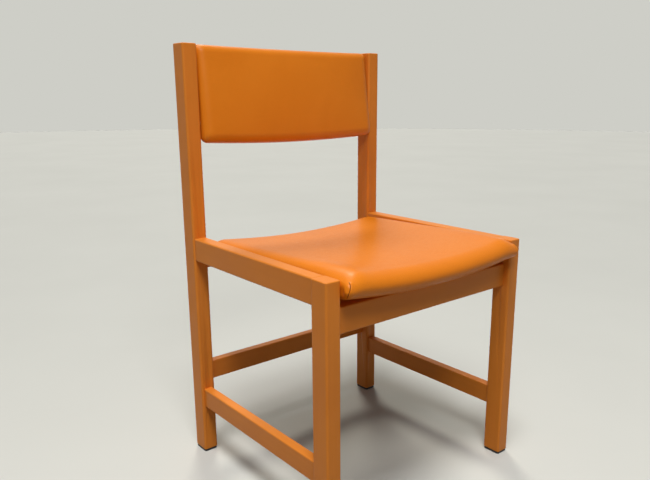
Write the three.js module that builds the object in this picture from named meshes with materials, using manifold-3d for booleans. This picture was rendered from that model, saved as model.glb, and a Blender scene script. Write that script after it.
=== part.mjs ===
// Upholstered wooden choir chair: a straight-legged frame with deep side rails, a dished seat pad that
// hangs between the rails and rolls over the front, and a padded back panel leaning between the posts.
// Millimetres, +Z up. The front of the chair faces -Y, and left and right are the sitter's own, so the
// left side is +X. The origin is on the floor, in the middle of the chair's bounding box.
import * as THREE from "three";
import { mergeVertices } from "three/addons/utils/BufferGeometryUtils.js";
import Module from "manifold-3d";

const wasm = await Module();
wasm.setup();

// Driving sizes of the frame.
const chairWidth = 480;
const postTop = 810;
const frontLegTop = 452;
const legPitch = 403; // front face of a front leg to front face of the post behind it
const legWidth = 29;
const legDepth = 38;
const legEdgeRadius = 4;
const legEndRadius = 2;
const fitGap = 0.3; // between any two pieces that touch

const sideRailThickness = 25;
const sideRailHeight = 44;
const sideRailInset = 2.5; // outer face of the rail behind the outer face of the leg
const railEdgeRadius = 3;

const apronThickness = 22;
const apronHeight = 45;
const apronDrop = 47.5; // its top below the tops of the side rails
const apronSetback = 12.5; // behind the front faces of the front legs

const rearRailThickness = 22;
const rearRailHeight = 24;
const rearRailDrop = 38; // its top below the tops of the side rails
const rearRailSetback = 4; // behind the front faces of the posts

const stretcherThickness = 18;
const stretcherHeight = 39;
const stretcherEdgeRadius = 2.5;
const sideStretcherTop = 140;
const rearStretcherTop = 188;
const rearStretcherSetback = 17;

// Every rail ends in a round-edged tenon, glued into a mortise of the same form.
const tenonThickness = 9;
const tenonShoulder = 5; // above and below the tenon
const sideTenonLength = 18;
const crossTenonLength = 20;
const mortiseSpare = 1; // glue space past the tenon's end

// Nail-on pads under the four feet.
const glideThickness = 4;
const glideInset = 0.8; // inside the faces of the leg
const glideEndRadius = 0.8;
const nailRadius = 1.5;
const nailLength = 22;
const nailPoint = 4;

// Seat pad: its underside is a shallow trough, level across the front apron at its lowest line.
const seatSideGap = 1.5; // to the legs
const seatOverhang = 25.7; // nose past the front faces of the legs, on the centre line
const seatRearGap = 11; // to the posts
const seatThickness = 44.5;
const seatTiltDegrees = 1.86;
const seatDish = 13;
const seatCrown = 2.5;
const seatFrontBow = 4;
const seatRearBow = 1;
const seatNoseReach = 29;
const seatRearReach = 13;
const seatFaceEdgeRadius = 15;
const seatBaseEdgeRadius = 4;
const seatFrontCorner = 5;
const seatRearCorner = 22;
const seatSideDraw = 1;
const seatWaterfallDrop = 5;
const seatWaterfallLength = 110;
const seatBoardThickness = 10;
const seatBoardInset = 9;
const seatBoardNoseInset = 33;
const seatBoardRearInset = 15;
const seatBoardCorner = 20;
const seatTurnUnder = 60; // how far the cover is turned under the board
const seatLiningSetback = 3; // behind the apron

// Back panel: flat plywood with its padding towards the sitter, leaning between the upright posts.
const backSideGap = 1;
const backTopDrop = 2; // below the tops of the posts
const backHeight = 180.5;
const backThickness = 31;
const backLeanDegrees = 7.3;
const backRearInset = 3.5; // rear face at the top edge, in front of the rear faces of the posts
const backCrown = 4.5;
const backBottomBow = 6;
const backTopSag = 1.5;
const backBottomReach = 18;
const backTopReach = 14;
const backFaceEdgeRadius = 15;
const backBaseEdgeRadius = 4;
const backBottomCorner = 10;
const backTopCorner = 4;
const backSideDraw = 0.6;
const backBoardThickness = 12;
const backBoardInset = 7;
const backBoardBottomInset = 21;
const backBoardTopInset = 17;
const backBoardCorner = 12;
const backTurnUnder = 30;
const backDowelInPost = 16;
const backDowelInBoard = 24;
const backDowelMargin = 38; // from the panel's bottom and top edges to the dowels

const coverThickness = 1.2;
const foamGap = 0.9; // between a cover and the foam in it
const liningThickness = 0.8;
const liningOverlap = 9; // lining over the turned edge of the cover
const liningCorner = 12;

// Two bearers, dowelled between the apron and the rear rail, carry the seat board.
const bearerWidth = 34;
const bearerSideGap = 15; // inside the inner faces of the legs
const bearerDrop = 2; // its underside below that of the rear rail
const dowelRadius = 4;
const dowelEdge = 0.8;
const bearerDowelBite = 14; // into the rail and into the bearer
const bearerDowelAboveBottom = 7.5;
const bearerDowelSpread = 15; // between the two dowels of one end
const screwHeadRadius = 4;
const screwHeadDepth = 2.6;
const screwRadius = 2;
const screwPoint = 4;
const screwSink = 1;
const seatScrewBite = 7.5; // into the seat board
const seatScrewMargin = 80; // from the bearer's ends
const seatScrewFromEdge = 9; // from the bearer's inner face

// Fineness of the round forms.
const cornerSteps = 3;
const endSteps = 2;
const roundSides = 12;
const slotSteps = 4;
const noseSteps = 4;
const rearSteps = 4;
const runSteps = 7;
const acrossSteps = 8;
const padEdgeSteps = 3;
const cutOverrun = 60; // how far a cutting solid passes the piece that it cuts

// Sizes worked out from the ones above.
const halfWidth = chairWidth / 2;
const legCentreX = halfWidth - legWidth / 2;
const legInnerX = halfWidth - legWidth;
const frontLegBackY = legDepth;
const postBackY = legPitch + legDepth;
const frontLegCentreY = legDepth / 2;
const postCentreY = legPitch + legDepth / 2;
const apronTop = frontLegTop - apronDrop;
const rearRailTop = frontLegTop - rearRailDrop;
const bearerBottom = rearRailTop - rearRailHeight - bearerDrop;
const sideRailCentreX = halfWidth - sideRailInset - sideRailThickness / 2;
const sideRailInnerX = halfWidth - sideRailInset - sideRailThickness;
const sideSpan = legPitch - legDepth - 2 * fitGap;
const sideCentreY = (legPitch + legDepth) / 2;
const crossSpan = 2 * legInnerX - 2 * fitGap;
const seatTilt = THREE.MathUtils.degToRad(seatTiltDegrees);
const backLean = THREE.MathUtils.degToRad(backLeanDegrees);
const rightAngle = Math.PI / 2;

// Materials, one per finish.
const finish = (color, roughness, metalness = 0) => () =>
  new THREE.MeshStandardMaterial({ color, roughness, metalness });
const paintedWood = finish(0xa8622f, 0.45);
const bareWood = finish(0xd3b184, 0.8);
const rawPlywood = finish(0xc9a574, 0.8);
const leather = finish(0xe2802b, 0.5);
const foam = finish(0xe8ddb4, 0.95);
const liningCloth = finish(0x1d1c1b, 0.95);
const steel = finish(0xb4b4b0, 0.35, 1);
const plastic = finish(0x151515, 0.55);

// A closed geometry as a solid, moved by a matrix first when one is given.
function solidOf(geometry, matrix) {
  const bare = geometry.clone();
  bare.deleteAttribute("normal");
  bare.deleteAttribute("uv");
  if (matrix) bare.applyMatrix4(matrix);
  const merged = mergeVertices(bare);
  return new wasm.Manifold(
    new wasm.Mesh({
      numProp: 3,
      vertProperties: merged.attributes.position.array,
      triVerts: new Uint32Array(merged.index.array),
    }),
  );
}

function geometryOf(solid) {
  const { numProp, vertProperties, triVerts } = solid.getMesh();
  const positions = new Float32Array((vertProperties.length / numProp) * 3);
  for (let i = 0; i < positions.length / 3; i += 1) {
    positions.set(vertProperties.subarray(i * numProp, i * numProp + 3), i * 3);
  }
  const geometry = new THREE.BufferGeometry();
  geometry.setAttribute("position", new THREE.BufferAttribute(positions, 3));
  geometry.setIndex(new THREE.BufferAttribute(new Uint32Array(triVerts), 1));
  geometry.computeVertexNormals();
  return geometry;
}

function addPiece(group, name, shape, material, x = 0, y = 0, z = 0) {
  const geometry = shape.isBufferGeometry ? shape : geometryOf(shape);
  const mesh = new THREE.Mesh(geometry, material());
  mesh.name = name;
  mesh.position.set(x, y, z);
  group.add(mesh);
  return mesh;
}

const at = (x, y, z) => new THREE.Matrix4().makeTranslation(x, y, z);

// Turns a length along Z into one along X or Y, with the section's second axis upright.
const alongX = new THREE.Matrix4().makeBasis(
  new THREE.Vector3(0, 1, 0),
  new THREE.Vector3(0, 0, 1),
  new THREE.Vector3(1, 0, 0),
);
const alongY = new THREE.Matrix4().makeBasis(
  new THREE.Vector3(-1, 0, 0),
  new THREE.Vector3(0, 0, 1),
  new THREE.Vector3(0, 1, 0),
);

function roundedRectangle(width, height, radius) {
  const x = width / 2 - radius;
  const y = height / 2 - radius;
  const shape = new THREE.Shape();
  shape.absarc(x, y, radius, 0, rightAngle);
  shape.absarc(-x, y, radius, rightAngle, 2 * rightAngle);
  shape.absarc(-x, -y, radius, 2 * rightAngle, 3 * rightAngle);
  shape.absarc(x, -y, radius, 3 * rightAngle, 4 * rightAngle);
  return shape;
}

// A bar along Z, centred on it, with eased long edges and rounded-over ends.
function bar(width, depth, length, edgeRadius, endRadius) {
  const geometry = new THREE.ExtrudeGeometry(roundedRectangle(width, depth, edgeRadius), {
    depth: length - 2 * endRadius,
    curveSegments: cornerSteps,
    bevelEnabled: endRadius > 0,
    bevelThickness: endRadius,
    bevelSize: endRadius,
    bevelOffset: -endRadius,
    bevelSegments: endSteps,
  });
  return geometry.translate(0, 0, endRadius - length / 2);
}

// A tenon, or the mortise for it: a slot form along Z, centred on it.
function slot(thickness, height, length) {
  const geometry = new THREE.ExtrudeGeometry(roundedRectangle(thickness, height, thickness / 2), {
    depth: length,
    curveSegments: slotSteps,
    bevelEnabled: false,
  });
  return geometry.translate(0, 0, -length / 2);
}

// A rail along Z with a tenon on both ends, which reaches out of its shoulders by tenonLength.
function tenonedRail(thickness, height, span, edgeRadius, tenonLength) {
  const tenon = slot(tenonThickness, height - 2 * tenonShoulder, span + 2 * (tenonLength + fitGap));
  return solidOf(bar(thickness, height, span, edgeRadius, 0)).add(solidOf(tenon));
}

// The mortise that takes a rail's tenon, as a cutting solid centred on the face of the post.
function mortise(railHeight, tenonLength, turn, place) {
  const cut = slot(
    tenonThickness + 2 * fitGap,
    railHeight - 2 * tenonShoulder + 2 * fitGap,
    2 * (tenonLength + mortiseSpare),
  );
  return solidOf(cut, place.multiply(turn));
}

// A solid turned from pairs of radius and height, standing along Z.
function turned(profile) {
  const points = profile.map(([radius, height]) => new THREE.Vector2(radius, height));
  return new THREE.LatheGeometry(points, roundSides).rotateX(rightAngle);
}

// Round fixings and the bores for them all start at height 0 and run up to their length.
const bore = (radius, length) =>
  turned([[0, -fitGap], [radius, -fitGap], [radius, length + fitGap], [0, length + fitGap]]);

const dowel = (length) => turned([
  [0, 0],
  [dowelRadius - dowelEdge, 0],
  [dowelRadius, dowelEdge],
  [dowelRadius, length - dowelEdge],
  [dowelRadius - dowelEdge, length],
  [0, length],
]);

const dowelBore = (length) => bore(dowelRadius + fitGap, length);

const nail = () => turned([[0, 0], [nailRadius, 0], [nailRadius, nailLength - nailPoint], [0, nailLength]]);

const screw = (length) => turned([
  [0, 0],
  [screwHeadRadius, 0],
  [screwRadius, screwHeadDepth],
  [screwRadius, length - screwPoint],
  [0, length],
]);

const screwBore = (length) => turned([
  [0, -screwSink - fitGap],
  [screwHeadRadius + fitGap, -screwSink - fitGap],
  [screwHeadRadius + fitGap, 0],
  [screwRadius + fitGap, screwHeadDepth + fitGap],
  [screwRadius + fitGap, length + fitGap],
  [0, length + fitGap],
]);

const cutAll = (solid, cuts) => cuts.reduce((rest, cut) => rest.subtract(cut), solid);

// Where each rail meets the legs and posts, and how far up.
const sideRailCentreZ = frontLegTop - sideRailHeight / 2;
const apronCentreZ = apronTop - apronHeight / 2;
const apronCentreY = apronSetback + apronThickness / 2;
const rearRailCentreZ = rearRailTop - rearRailHeight / 2;
const rearRailCentreY = legPitch + rearRailSetback + rearRailThickness / 2;
const sideStretcherCentreZ = sideStretcherTop - stretcherHeight / 2;
const rearStretcherCentreZ = rearStretcherTop - stretcherHeight / 2;
const rearStretcherCentreY = legPitch + rearStretcherSetback + stretcherThickness / 2;

// The dowels that hang the back panel, in the panel's own frame: up the panel, and forward of its rear.
const backHalfWidth = legInnerX - backSideGap;
const backDowelUp = [backDowelMargin, backHeight - backDowelMargin];
const backDowelForward = coverThickness + fitGap + backBoardThickness / 2;

const backGroup = new THREE.Group();
backGroup.rotation.x = rightAngle - backLean;
backGroup.position.set(
  0,
  postBackY - backRearInset - backHeight * Math.sin(backLean),
  postTop - backTopDrop - backHeight * Math.cos(backLean),
);
backGroup.updateMatrix();

const seatGroup = new THREE.Group();
seatGroup.rotation.x = -seatTilt;
seatGroup.position.set(0, apronSetback + apronThickness, apronTop + fitGap);
seatGroup.updateMatrix();

// A leg or post stands on its glide. It is drawn at its own place in the chair.
function upright(side, centreY, top, cuts) {
  const foot = glideThickness + fitGap;
  const place = at(side * legCentreX, centreY, (top + foot) / 2);
  const blank = solidOf(bar(legWidth, legDepth, top - foot, legEdgeRadius, legEndRadius), place);
  const nailBore = solidOf(bore(nailRadius + fitGap, nailLength), at(side * legCentreX, centreY, 0));
  return cutAll(blank, [nailBore, ...cuts]);
}

// The mortises of one leg or post, on its face at faceY and on its inner face.
const sideMortise = (height, x, faceY, z) => mortise(height, sideTenonLength, alongY, at(x, faceY, z));
const crossMortise = (height, side, y, z) =>
  mortise(height, crossTenonLength, alongX, at(side * legInnerX, y, z));

function frontLeg(side) {
  return upright(side, frontLegCentreY, frontLegTop, [
    sideMortise(sideRailHeight, side * sideRailCentreX, frontLegBackY, sideRailCentreZ),
    sideMortise(stretcherHeight, side * legCentreX, frontLegBackY, sideStretcherCentreZ),
    crossMortise(apronHeight, side, apronCentreY, apronCentreZ),
  ]);
}

function rearPost(side) {
  const boresForDowels = backDowelUp.map((up) => {
    const { y, z } = new THREE.Vector3(0, up, backDowelForward).applyMatrix4(backGroup.matrix);
    const start = side === 1 ? legInnerX - fitGap : -legInnerX - backDowelInPost;
    return solidOf(dowelBore(backDowelInPost + fitGap), at(start, y, z).multiply(alongX));
  });
  return upright(side, postCentreY, postTop, [
    sideMortise(sideRailHeight, side * sideRailCentreX, legPitch, sideRailCentreZ),
    sideMortise(stretcherHeight, side * legCentreX, legPitch, sideStretcherCentreZ),
    crossMortise(rearRailHeight, side, rearRailCentreY, rearRailCentreZ),
    crossMortise(stretcherHeight, side, rearStretcherCentreY, rearStretcherCentreZ),
    ...boresForDowels,
  ]);
}

function sideBar(thickness, height, edgeRadius, x, z) {
  const place = at(x, sideCentreY, z).multiply(alongY);
  return tenonedRail(thickness, height, sideSpan, edgeRadius, sideTenonLength).transform(place.elements);
}

function crossBar(thickness, height, edgeRadius, y, z) {
  const place = at(0, y, z).multiply(alongX);
  return tenonedRail(thickness, height, crossSpan, edgeRadius, crossTenonLength).transform(place.elements);
}

// Closed loops of points, one beside the other, joined into a skin. A loop starts at one tip, runs over
// the top to the other tip and back below, so both ends close with rungs from the top to the bottom.
function loft(loops) {
  const count = loops[0].length;
  const index = [];
  const ring = (i, j) => i * count + ((j + count) % count);
  for (let i = 0; i + 1 < loops.length; i += 1) {
    for (let j = 0; j < count; j += 1) {
      index.push(ring(i, j), ring(i + 1, j + 1), ring(i, j + 1));
      index.push(ring(i, j), ring(i + 1, j), ring(i + 1, j + 1));
    }
  }
  for (let j = 0; j < count / 2; j += 1) {
    const rungs = [[j, j + 1, -j - 1], [j, -j - 1, -j]];
    for (const [a, b, c] of rungs) {
      if (ring(0, b) === ring(0, c) || ring(0, a) === ring(0, c)) continue;
      index.push(ring(0, a), ring(0, b), ring(0, c));
      index.push(ring(loops.length - 1, a), ring(loops.length - 1, c), ring(loops.length - 1, b));
    }
  }
  const geometry = new THREE.BufferGeometry().setFromPoints(loops.flat());
  geometry.setIndex(index);
  return geometry;
}

// How far a round edge of the given radius has drawn in at a distance from its outermost line.
function roundOff(radius, distance) {
  if (distance >= radius) return 0;
  return radius - Math.sqrt(Math.max(0, radius ** 2 - (radius - distance) ** 2));
}

// The places across half a pad's width: close together over the round edge, then evenly to the middle.
function acrossPlaces(half, edgeRadius) {
  const edge = [];
  for (let i = 0; i <= padEdgeSteps; i += 1) {
    edge.push(half - edgeRadius * (1 - Math.cos((i / padEdgeSteps) * rightAngle)));
  }
  const flat = half - edgeRadius;
  const inner = [];
  for (let i = 1; i < acrossSteps; i += 1) inner.push(flat - (2 * flat * i) / acrossSteps);
  const right = edge.map((x) => -x).reverse();
  return [...edge, ...inner, ...right].map((x) => x / half).reverse();
}

// The stations from a pad's front tip to its rear tip: how much of the round front, the straight run and
// the round rear lies before each one, and how far the two faces have opened there.
function padStations() {
  const stations = [];
  for (let i = 0; i <= noseSteps; i += 1) {
    const turn = (i / noseSteps) * rightAngle;
    stations.push([1 - Math.cos(turn), 0, 0, Math.sin(turn)]);
  }
  for (let i = 1; i <= runSteps; i += 1) stations.push([1, i / runSteps, 0, 1]);
  for (let i = 1; i <= rearSteps; i += 1) {
    const turn = (i / rearSteps) * rightAngle;
    stations.push([1, 1, Math.sin(turn), Math.cos(turn)]);
  }
  return stations;
}

// One point of a pad, on its padded face for side 1 and on its base for side -1. share goes from -1 to 1
// across the pad. Its own frame has x across it, y from front to rear, and z from base to padded face.
function padPoint(pad, inset, share, [front, run, rear, open], side) {
  const start = pad.start - pad.startBow * (1 - share ** 2) + inset;
  const end = pad.end - pad.endBow * (1 - share ** 2) - inset;
  const startReach = pad.startReach - inset;
  const endReach = pad.endReach - inset;
  const y = start + startReach * front + (end - start - startReach - endReach) * run + endReach * rear;
  const middle = Math.sin((Math.PI * (y - start)) / (end - start));
  const corner = roundOff(pad.startCorner, y - start) + roundOff(pad.endCorner, end - y);
  const half = pad.half - inset;
  const x = share * (half - corner - pad.sideDraw * middle);
  const trough = pad.dish * (x / pad.half) ** 2;
  const edge = half * (1 - Math.abs(share));
  const fall = Math.max(0, 1 - (y - pad.start) / pad.waterfallLength) ** 2 * pad.waterfallDrop;
  const low = trough + inset + roundOff(pad.baseEdge, edge);
  const rise = pad.crown * middle * (1 - share ** 2) - fall - roundOff(pad.faceEdge, edge);
  const high = trough + pad.thickness + rise - inset;
  return new THREE.Vector3(x, y, (low + high) / 2 + (side * open * (high - low)) / 2);
}

// A cushion form with its crown, rounded edges and drawn-in sides, inset evenly from its outer skin.
function padForm(pad, inset = 0) {
  const stations = padStations();
  const below = stations.slice(1, -1).reverse();
  return loft(acrossPlaces(pad.half, pad.faceEdge).map((share) => [
    ...stations.map((station) => padPoint(pad, inset, share, station, 1)),
    ...below.map((station) => padPoint(pad, inset, share, station, -1)),
  ]));
}

// A curved slab that follows the trough of a pad between two heights, cut to a round-cornered outline.
function dishedSlab(pad, { half, start, end, low, high, corner }) {
  const loops = [];
  const reach = half + corner;
  for (let i = 0; i <= 2 * acrossSteps; i += 1) {
    const x = (reach * i) / acrossSteps - reach;
    const lift = pad.dish * (x / pad.half) ** 2;
    loops.push([
      new THREE.Vector3(x, start, lift + low),
      new THREE.Vector3(x, start, lift + high),
      new THREE.Vector3(x, end, lift + high),
      new THREE.Vector3(x, end, lift + low),
    ]);
  }
  const outline = new THREE.ExtrudeGeometry(roundedRectangle(2 * half, end - start, corner), {
    depth: high - low + pad.dish * 2 + 2 * cutOverrun,
    curveSegments: cornerSteps,
    bevelEnabled: false,
  });
  const stamp = solidOf(outline, at(0, (start + end) / 2, low - cutOverrun));
  return solidOf(loft(loops)).intersect(stamp);
}

// Seat pad in its own frame, which starts at the rear top edge of the apron on the centre line.
const seatPad = {
  half: legInnerX - seatSideGap,
  start: -(apronSetback + apronThickness + seatOverhang - seatFrontBow),
  end: legPitch - seatRearGap - apronSetback - apronThickness,
  startBow: seatFrontBow,
  endBow: seatRearBow,
  thickness: seatThickness,
  dish: seatDish,
  crown: seatCrown,
  startReach: seatNoseReach,
  endReach: seatRearReach,
  faceEdge: seatFaceEdgeRadius,
  baseEdge: seatBaseEdgeRadius,
  startCorner: seatFrontCorner,
  endCorner: seatRearCorner,
  sideDraw: seatSideDraw,
  waterfallDrop: seatWaterfallDrop,
  waterfallLength: seatWaterfallLength,
};

const backPad = {
  half: backHalfWidth,
  start: 0,
  end: backHeight,
  startBow: backBottomBow,
  endBow: backTopSag,
  thickness: backThickness,
  dish: 0,
  crown: backCrown,
  startReach: backBottomReach,
  endReach: backTopReach,
  faceEdge: backFaceEdgeRadius,
  baseEdge: backBaseEdgeRadius,
  startCorner: backBottomCorner,
  endCorner: backTopCorner,
  sideDraw: backSideDraw,
  waterfallDrop: 0,
  waterfallLength: backHeight,
};

// The board, foam, cover and lining of one pad. Its board and cover are cut for whatever is fixed in.
function upholster(pad, boardOutline, boardThickness, opening, cuts) {
  const boardLow = coverThickness + fitGap;
  const boardHigh = boardLow + boardThickness;
  const board = dishedSlab(pad, { ...boardOutline, low: boardLow, high: boardHigh });
  const boardSpace = dishedSlab(pad, {
    ...widened(boardOutline, fitGap),
    low: -cutOverrun,
    high: boardHigh + fitGap,
  });
  const window = dishedSlab(pad, { ...opening, low: -cutOverrun, high: boardLow });
  const lining = dishedSlab(pad, {
    ...widened(opening, liningOverlap),
    low: -fitGap - liningThickness,
    high: -fitGap,
  });
  const skin = solidOf(padForm(pad));
  const hollow = solidOf(padForm(pad, coverThickness));
  const filling = solidOf(padForm(pad, coverThickness + foamGap));
  return {
    board: cutAll(board, cuts),
    foam: cutAll(filling, [boardSpace, ...cuts]),
    cover: cutAll(skin, [hollow, window, ...cuts]),
    lining,
  };
}

const widened = ({ half, start, end, corner }, by) =>
  ({ half: half + by, start: start - by, end: end + by, corner });

// The two bearers run from the back of the apron to the front of the rear rail.
const bearerFrontY = apronSetback + apronThickness + fitGap;
const bearerRearY = legPitch + rearRailSetback - fitGap;
const bearerCentreX = legInnerX - bearerSideGap - bearerWidth / 2;
const bearerDowelLength = 2 * bearerDowelBite + fitGap;
const seatScrewX = bearerCentreX - bearerWidth / 2 + seatScrewFromEdge;

function bearerDowels(side) {
  const starts = [bearerFrontY - fitGap - bearerDowelBite, bearerRearY - bearerDowelBite];
  return starts.flatMap((y) => [-1, 1].map((step) => {
    const x = side * bearerCentreX + (step * bearerDowelSpread) / 2;
    return at(x, y, bearerBottom + bearerDowelAboveBottom).multiply(alongY);
  }));
}

const bearerDowelBores = () => sides.flatMap(([, side]) =>
  bearerDowels(side).map((place) => solidOf(dowelBore(bearerDowelLength), place)));

// The height of the seat board's underside above the floor at a place in the chair.
function seatBaseHeight(x, y) {
  const along = (y - seatGroup.position.y) / Math.cos(seatTilt);
  const lift = seatPad.dish * (x / seatPad.half) ** 2 + coverThickness + fitGap;
  return seatGroup.position.z - along * Math.sin(seatTilt) + lift * Math.cos(seatTilt);
}

// The screws of one side come up through its bearer into the seat board.
function seatScrews(side) {
  return [bearerFrontY + seatScrewMargin, bearerRearY - seatScrewMargin].map((y) => {
    const low = bearerBottom + screwSink;
    const length = seatBaseHeight(seatScrewX, y) + seatScrewBite - low;
    return { place: at(side * seatScrewX, y, low), length };
  });
}

function bearer(side) {
  const length = bearerRearY - bearerFrontY;
  const middle = (bearerFrontY + bearerRearY) / 2;
  const box = new THREE.BoxGeometry(bearerWidth, length, apronHeight);
  const blank = solidOf(box, at(side * bearerCentreX, middle, bearerBottom + apronHeight / 2));
  const above = dishedSlab(seatPad, {
    half: halfWidth + cutOverrun,
    start: -cutOverrun,
    end: seatPad.end + cutOverrun,
    corner: liningCorner,
    low: -fitGap,
    high: seatThickness + cutOverrun,
  });
  const screwBores = seatScrews(side).map(({ place, length }) => solidOf(screwBore(length), place));
  return cutAll(blank, [above.transform(seatGroup.matrix.elements), ...bearerDowelBores(), ...screwBores]);
}

const sides = [["left", 1], ["right", -1]];
const chair = new THREE.Group();

function addFrame() {
  for (const [name, side] of sides) {
    const rail = sideBar(
      sideRailThickness, sideRailHeight, railEdgeRadius, side * sideRailCentreX, sideRailCentreZ,
    );
    const stretcher = sideBar(
      stretcherThickness, stretcherHeight, stretcherEdgeRadius, side * legCentreX, sideStretcherCentreZ,
    );
    addPiece(chair, `front_leg_${name}`, frontLeg(side), paintedWood);
    addPiece(chair, `rear_post_${name}`, rearPost(side), paintedWood);
    addPiece(chair, `side_rail_${name}`, rail, paintedWood);
    addPiece(chair, `side_stretcher_${name}`, stretcher, paintedWood);
  }
  const apron = crossBar(apronThickness, apronHeight, railEdgeRadius, apronCentreY, apronCentreZ);
  const rearRail = crossBar(
    rearRailThickness, rearRailHeight, railEdgeRadius, rearRailCentreY, rearRailCentreZ,
  );
  const stretcher = crossBar(
    stretcherThickness, stretcherHeight, stretcherEdgeRadius, rearStretcherCentreY, rearStretcherCentreZ,
  );
  addPiece(chair, "front_apron", cutAll(apron, bearerDowelBores()), paintedWood);
  addPiece(chair, "rear_rail", cutAll(rearRail, bearerDowelBores()), paintedWood);
  addPiece(chair, "rear_stretcher", stretcher, paintedWood);
}

function addGlides() {
  const foot = bar(
    legWidth - 2 * glideInset, legDepth - 2 * glideInset, glideThickness, legEdgeRadius, glideEndRadius,
  );
  const raised = at(0, 0, glideThickness / 2);
  const glide = solidOf(foot, raised).subtract(solidOf(bore(nailRadius + fitGap, nailLength)));
  for (const [name, side] of sides) {
    for (const [row, y] of [["front", frontLegCentreY], ["rear", postCentreY]]) {
      addPiece(chair, `glide_${row}_${name}`, glide, plastic, side * legCentreX, y);
      addPiece(chair, `glide_nail_${row}_${name}`, nail(), steel, side * legCentreX, y);
    }
  }
}

function addSeat() {
  const toSeat = seatGroup.matrix.clone().invert();
  const bores = sides.flatMap(([, side]) => seatScrews(side).map(({ place, length }) =>
    solidOf(screwBore(length), toSeat.clone().multiply(place))));
  const board = {
    half: seatPad.half - seatBoardInset,
    start: seatPad.start + seatBoardNoseInset,
    end: seatPad.end - seatBoardRearInset,
    corner: seatBoardCorner,
  };
  const opening = {
    half: seatPad.half - seatTurnUnder,
    start: seatLiningSetback + liningOverlap,
    end: seatPad.end - seatTurnUnder,
    corner: liningCorner,
  };
  const made = upholster(seatPad, board, seatBoardThickness, opening, bores);
  addPiece(seatGroup, "seat_board", made.board, rawPlywood);
  addPiece(seatGroup, "seat_foam", made.foam, foam);
  addPiece(seatGroup, "seat_cover", made.cover, leather);
  addPiece(seatGroup, "seat_lining", made.lining, liningCloth);
  chair.add(seatGroup);
}

function addBearers() {
  for (const [name, side] of sides) {
    addPiece(chair, `seat_bearer_${name}`, bearer(side), paintedWood);
    bearerDowels(side).forEach((place, i) => {
      const shape = dowel(bearerDowelLength).applyMatrix4(place);
      addPiece(chair, `bearer_dowel_${name}_${i + 1}`, shape, bareWood);
    });
    seatScrews(side).forEach(({ place, length }, i) => {
      addPiece(chair, `seat_screw_${name}_${i + 1}`, screw(length).applyMatrix4(place), steel);
    });
  }
}

function addBack() {
  const inner = backPad.half - backBoardInset - backDowelInBoard;
  const length = legInnerX + backDowelInPost - inner;
  const places = backDowelUp.flatMap((up, i) => sides.map(([name, side]) => ({
    name: `back_dowel_${name}_${i + 1}`,
    place: at(side === 1 ? inner : -inner - length, up, backDowelForward).multiply(alongX),
  })));
  const bores = places.map(({ place }) => solidOf(dowelBore(length), place));
  const board = {
    half: backPad.half - backBoardInset,
    start: backBoardBottomInset,
    end: backHeight - backBoardTopInset,
    corner: backBoardCorner,
  };
  const opening = {
    half: backPad.half - backTurnUnder,
    start: backTurnUnder,
    end: backHeight - backTurnUnder,
    corner: liningCorner,
  };
  const made = upholster(backPad, board, backBoardThickness, opening, bores);
  addPiece(backGroup, "back_board", made.board, rawPlywood);
  addPiece(backGroup, "back_foam", made.foam, foam);
  addPiece(backGroup, "back_cover", made.cover, leather);
  addPiece(backGroup, "back_outer_panel", made.lining, leather);
  for (const { name, place } of places) {
    addPiece(backGroup, name, dowel(length).applyMatrix4(place), bareWood);
  }
  chair.add(backGroup);
}

addFrame();
addGlides();
addSeat();
addBearers();
addBack();

// The cushion's nose and the backs of the posts lie equally far from the origin.
const reach = new THREE.Box3().setFromObject(chair, true);
chair.position.y = -(reach.min.y + reach.max.y) / 2;

const part = new THREE.Group();
part.add(chair);

export default part;
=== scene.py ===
"""Looks of an upholstered choir chair: painted frame, leather seat pad and leather back panel."""

import math
import random

import bmesh
import bpy
import numpy as np
from mathutils import Matrix, Vector, kdtree
from mathutils.bvhtree import BVHTree


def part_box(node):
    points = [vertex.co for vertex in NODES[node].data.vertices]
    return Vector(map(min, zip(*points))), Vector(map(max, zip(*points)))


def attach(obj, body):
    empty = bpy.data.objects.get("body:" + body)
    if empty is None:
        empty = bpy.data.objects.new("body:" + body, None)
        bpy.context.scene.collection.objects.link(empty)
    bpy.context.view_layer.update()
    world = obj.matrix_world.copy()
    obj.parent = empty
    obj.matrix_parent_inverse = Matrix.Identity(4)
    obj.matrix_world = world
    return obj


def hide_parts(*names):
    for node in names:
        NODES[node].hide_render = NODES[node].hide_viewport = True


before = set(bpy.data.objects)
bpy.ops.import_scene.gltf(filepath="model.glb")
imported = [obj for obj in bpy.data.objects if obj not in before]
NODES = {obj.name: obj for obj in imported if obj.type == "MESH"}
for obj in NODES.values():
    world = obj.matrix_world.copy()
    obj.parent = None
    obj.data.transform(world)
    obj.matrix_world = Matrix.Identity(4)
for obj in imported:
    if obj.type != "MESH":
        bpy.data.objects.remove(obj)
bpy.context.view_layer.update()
MM = 0.001
random.seed(11)

# The photo in pixels, and the camera that was fitted to it in metres and degrees
PHOTO_WIDTH = 650
PHOTO_HEIGHT = 480
FOCAL_PIXELS = 654.87
AXIS_PIXEL_X = 349.32
SENSOR_WIDTH = 36.0
CAMERA_SHIFT_Y = 0.03
CAMERA_X = -0.81517
CAMERA_AHEAD = 0.71604  # of the fronts of the legs
CAMERA_Z = 0.71754
CAMERA_YAW = -40.9
CAMERA_PITCH = -14.02
CAMERA_ROLL = 0.06

# Pixels of the photo down the sewn fold at the near corner of the seat's nose
FOLD_PIXELS = (
    (349, 281.5), (350, 284), (350.5, 287), (350.3, 290), (349.5, 293), (348.3, 296), (347.0, 299.0),
)

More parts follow.
